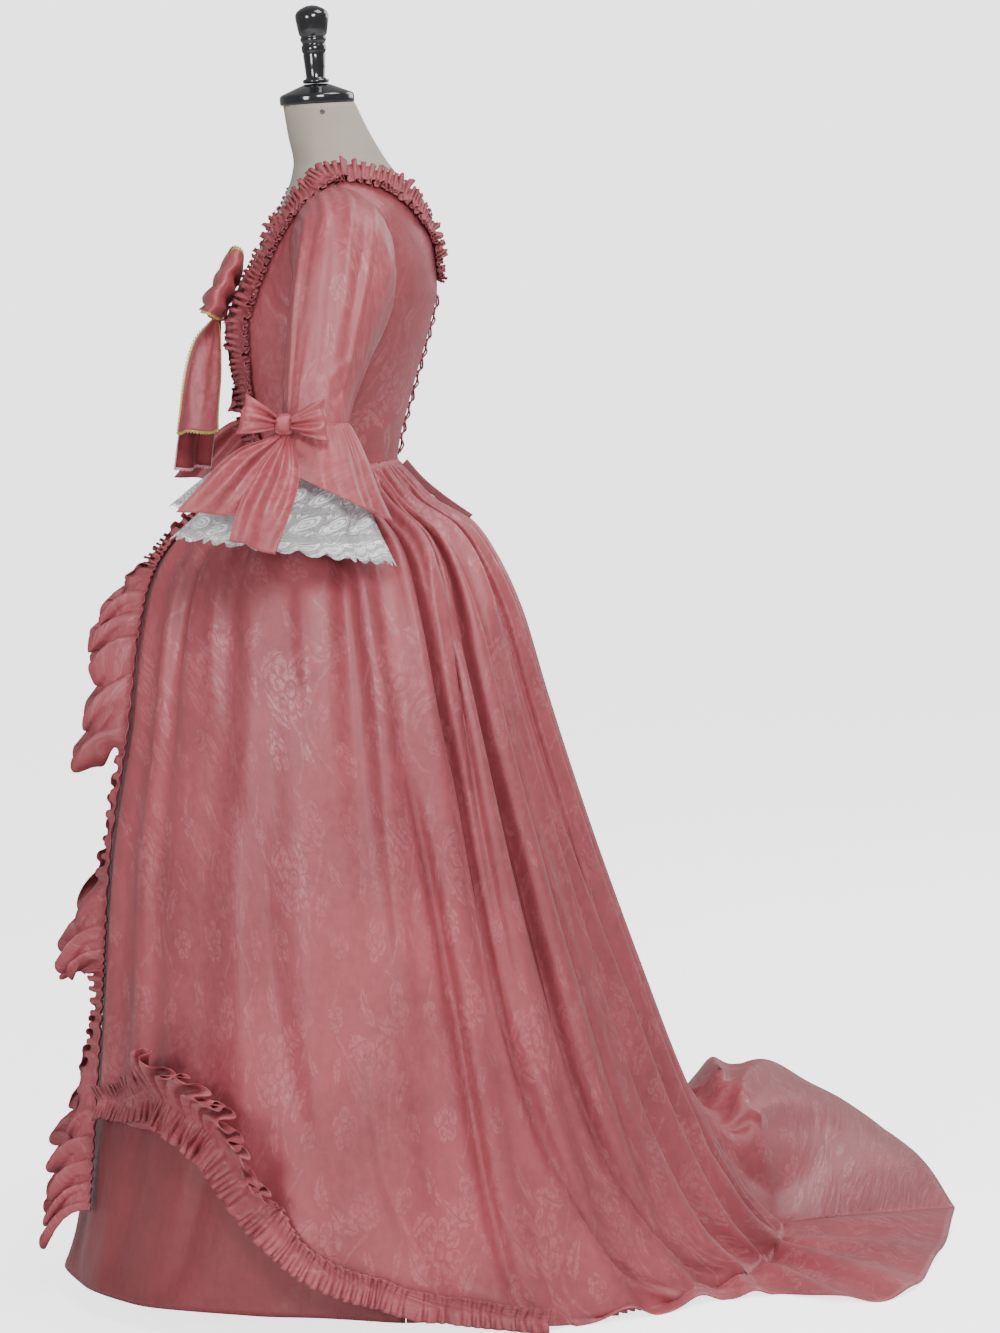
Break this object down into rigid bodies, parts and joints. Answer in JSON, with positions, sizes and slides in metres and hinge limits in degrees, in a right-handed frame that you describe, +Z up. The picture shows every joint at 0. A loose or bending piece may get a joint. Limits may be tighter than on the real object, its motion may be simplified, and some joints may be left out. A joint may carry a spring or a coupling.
{
  "type": "ball gown on a dress form",
  "caption": "Historic style ball gown in pink damask with an open fronted trained overskirt, flounced elbow sleeves and bows, worn by a limbless dress form on a round stand.",
  "frame": {"origin": "on the floor, at the centre of the stand's round base, on the pole's axis", "axes": "+Z up; the front faces -Y; the train runs to +Y; the wearer's left is +X"},
  "size_m": [1.3226, 1.2415, 1.687],
  "materials": {
    "damask": "pink satin damask, soft sheen",
    "petticoat": "plainer deep pink satin",
    "lace": "white floral lace",
    "linen": "natural linen cover",
    "black_gloss": "gloss black",
    "stand_metal": "black, satin"
  },
  "bodies": {
    "root": {"bodice_back_left": "damask", "bodice_back_right": "damask", "bodice_front_left": "damask", "bodice_front_right": "damask", "chest_bow_knot": "damask", "chest_bow_loop_left": "damask", "chest_bow_loop_right": "damask", "chest_bow_tail_left": "damask", "chest_bow_tail_right": "damask", "elbow_bow_knot_left": "damask", "elbow_bow_knot_right": "damask", "elbow_bow_loop_back_left": "damask", "elbow_bow_loop_back_right": "damask", "elbow_bow_loop_front_left": "damask", "elbow_bow_loop_front_right": "damask", "elbow_bow_tail_front_left": "damask", "elbow_bow_tail_front_right": "damask", "elbow_bow_tail_low_left": "damask", "elbow_bow_tail_low_right": "damask", "form_base": "stand_metal", "form_finial": "black_gloss", "form_neck_cap": "black_gloss", "form_pole": "stand_metal", "form_torso": "linen", "overskirt_left": "damask", "overskirt_right": "damask", "petticoat_back": "petticoat", "petticoat_front": "petticoat", "robing_left": "damask", "robing_right": "damask", "sleeve_flounce_left": "damask", "sleeve_flounce_right": "damask", "sleeve_lace_left": "lace", "sleeve_lace_right": "lace", "sleeve_left": "damask", "sleeve_right": "damask", "stomacher": "damask", "trim_front_left": "damask", "trim_front_right": "damask", "trim_hem_left": "damask", "trim_hem_right": "damask", "waist_tie": "damask"}
  },
  "joints": []
}
